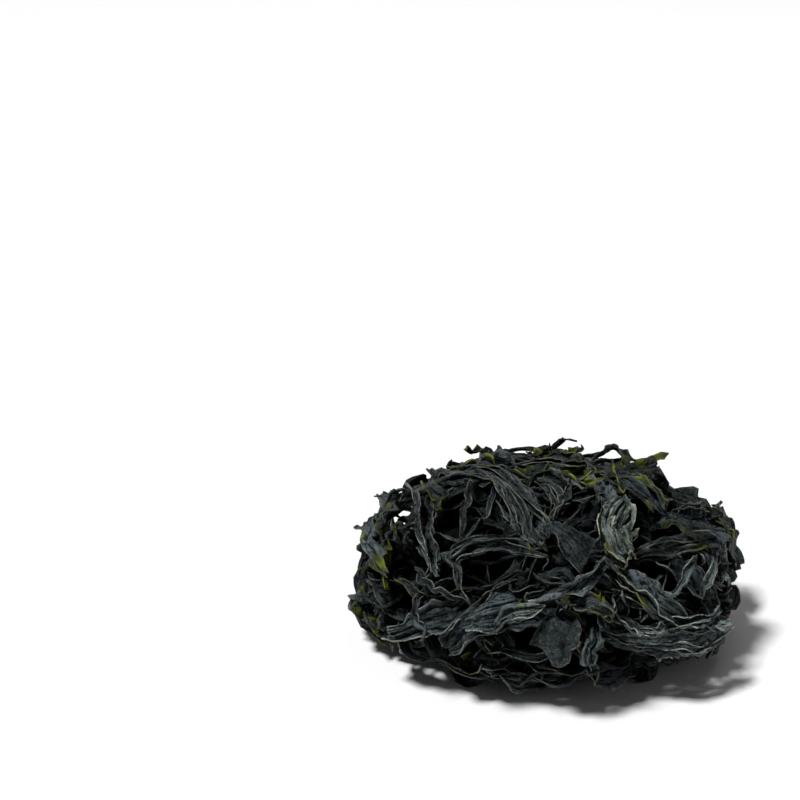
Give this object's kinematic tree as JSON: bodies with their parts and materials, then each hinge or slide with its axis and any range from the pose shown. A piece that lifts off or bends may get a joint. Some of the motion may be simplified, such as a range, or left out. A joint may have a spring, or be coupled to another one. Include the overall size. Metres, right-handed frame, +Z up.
{
  "type": "dried wakame",
  "caption": "Whole dried wakame frond: one midrib whose folded, crinkled, curled lobes have dried into a loose domed tangle.",
  "frame": {"origin": "on the surface that the frond rests on, under the middle of its outline seen from above", "axes": "+Z up; +X along the tangle's longest side, to the right seen from the front; the front faces -Y"},
  "size_m": [0.1646, 0.142, 0.0724],
  "materials": {
    "dried_lamina": "satin, crinkled along the lobes, with pale to olive edges"
  },
  "bodies": {
    "root": {"frond": "dried_lamina"}
  },
  "joints": []
}
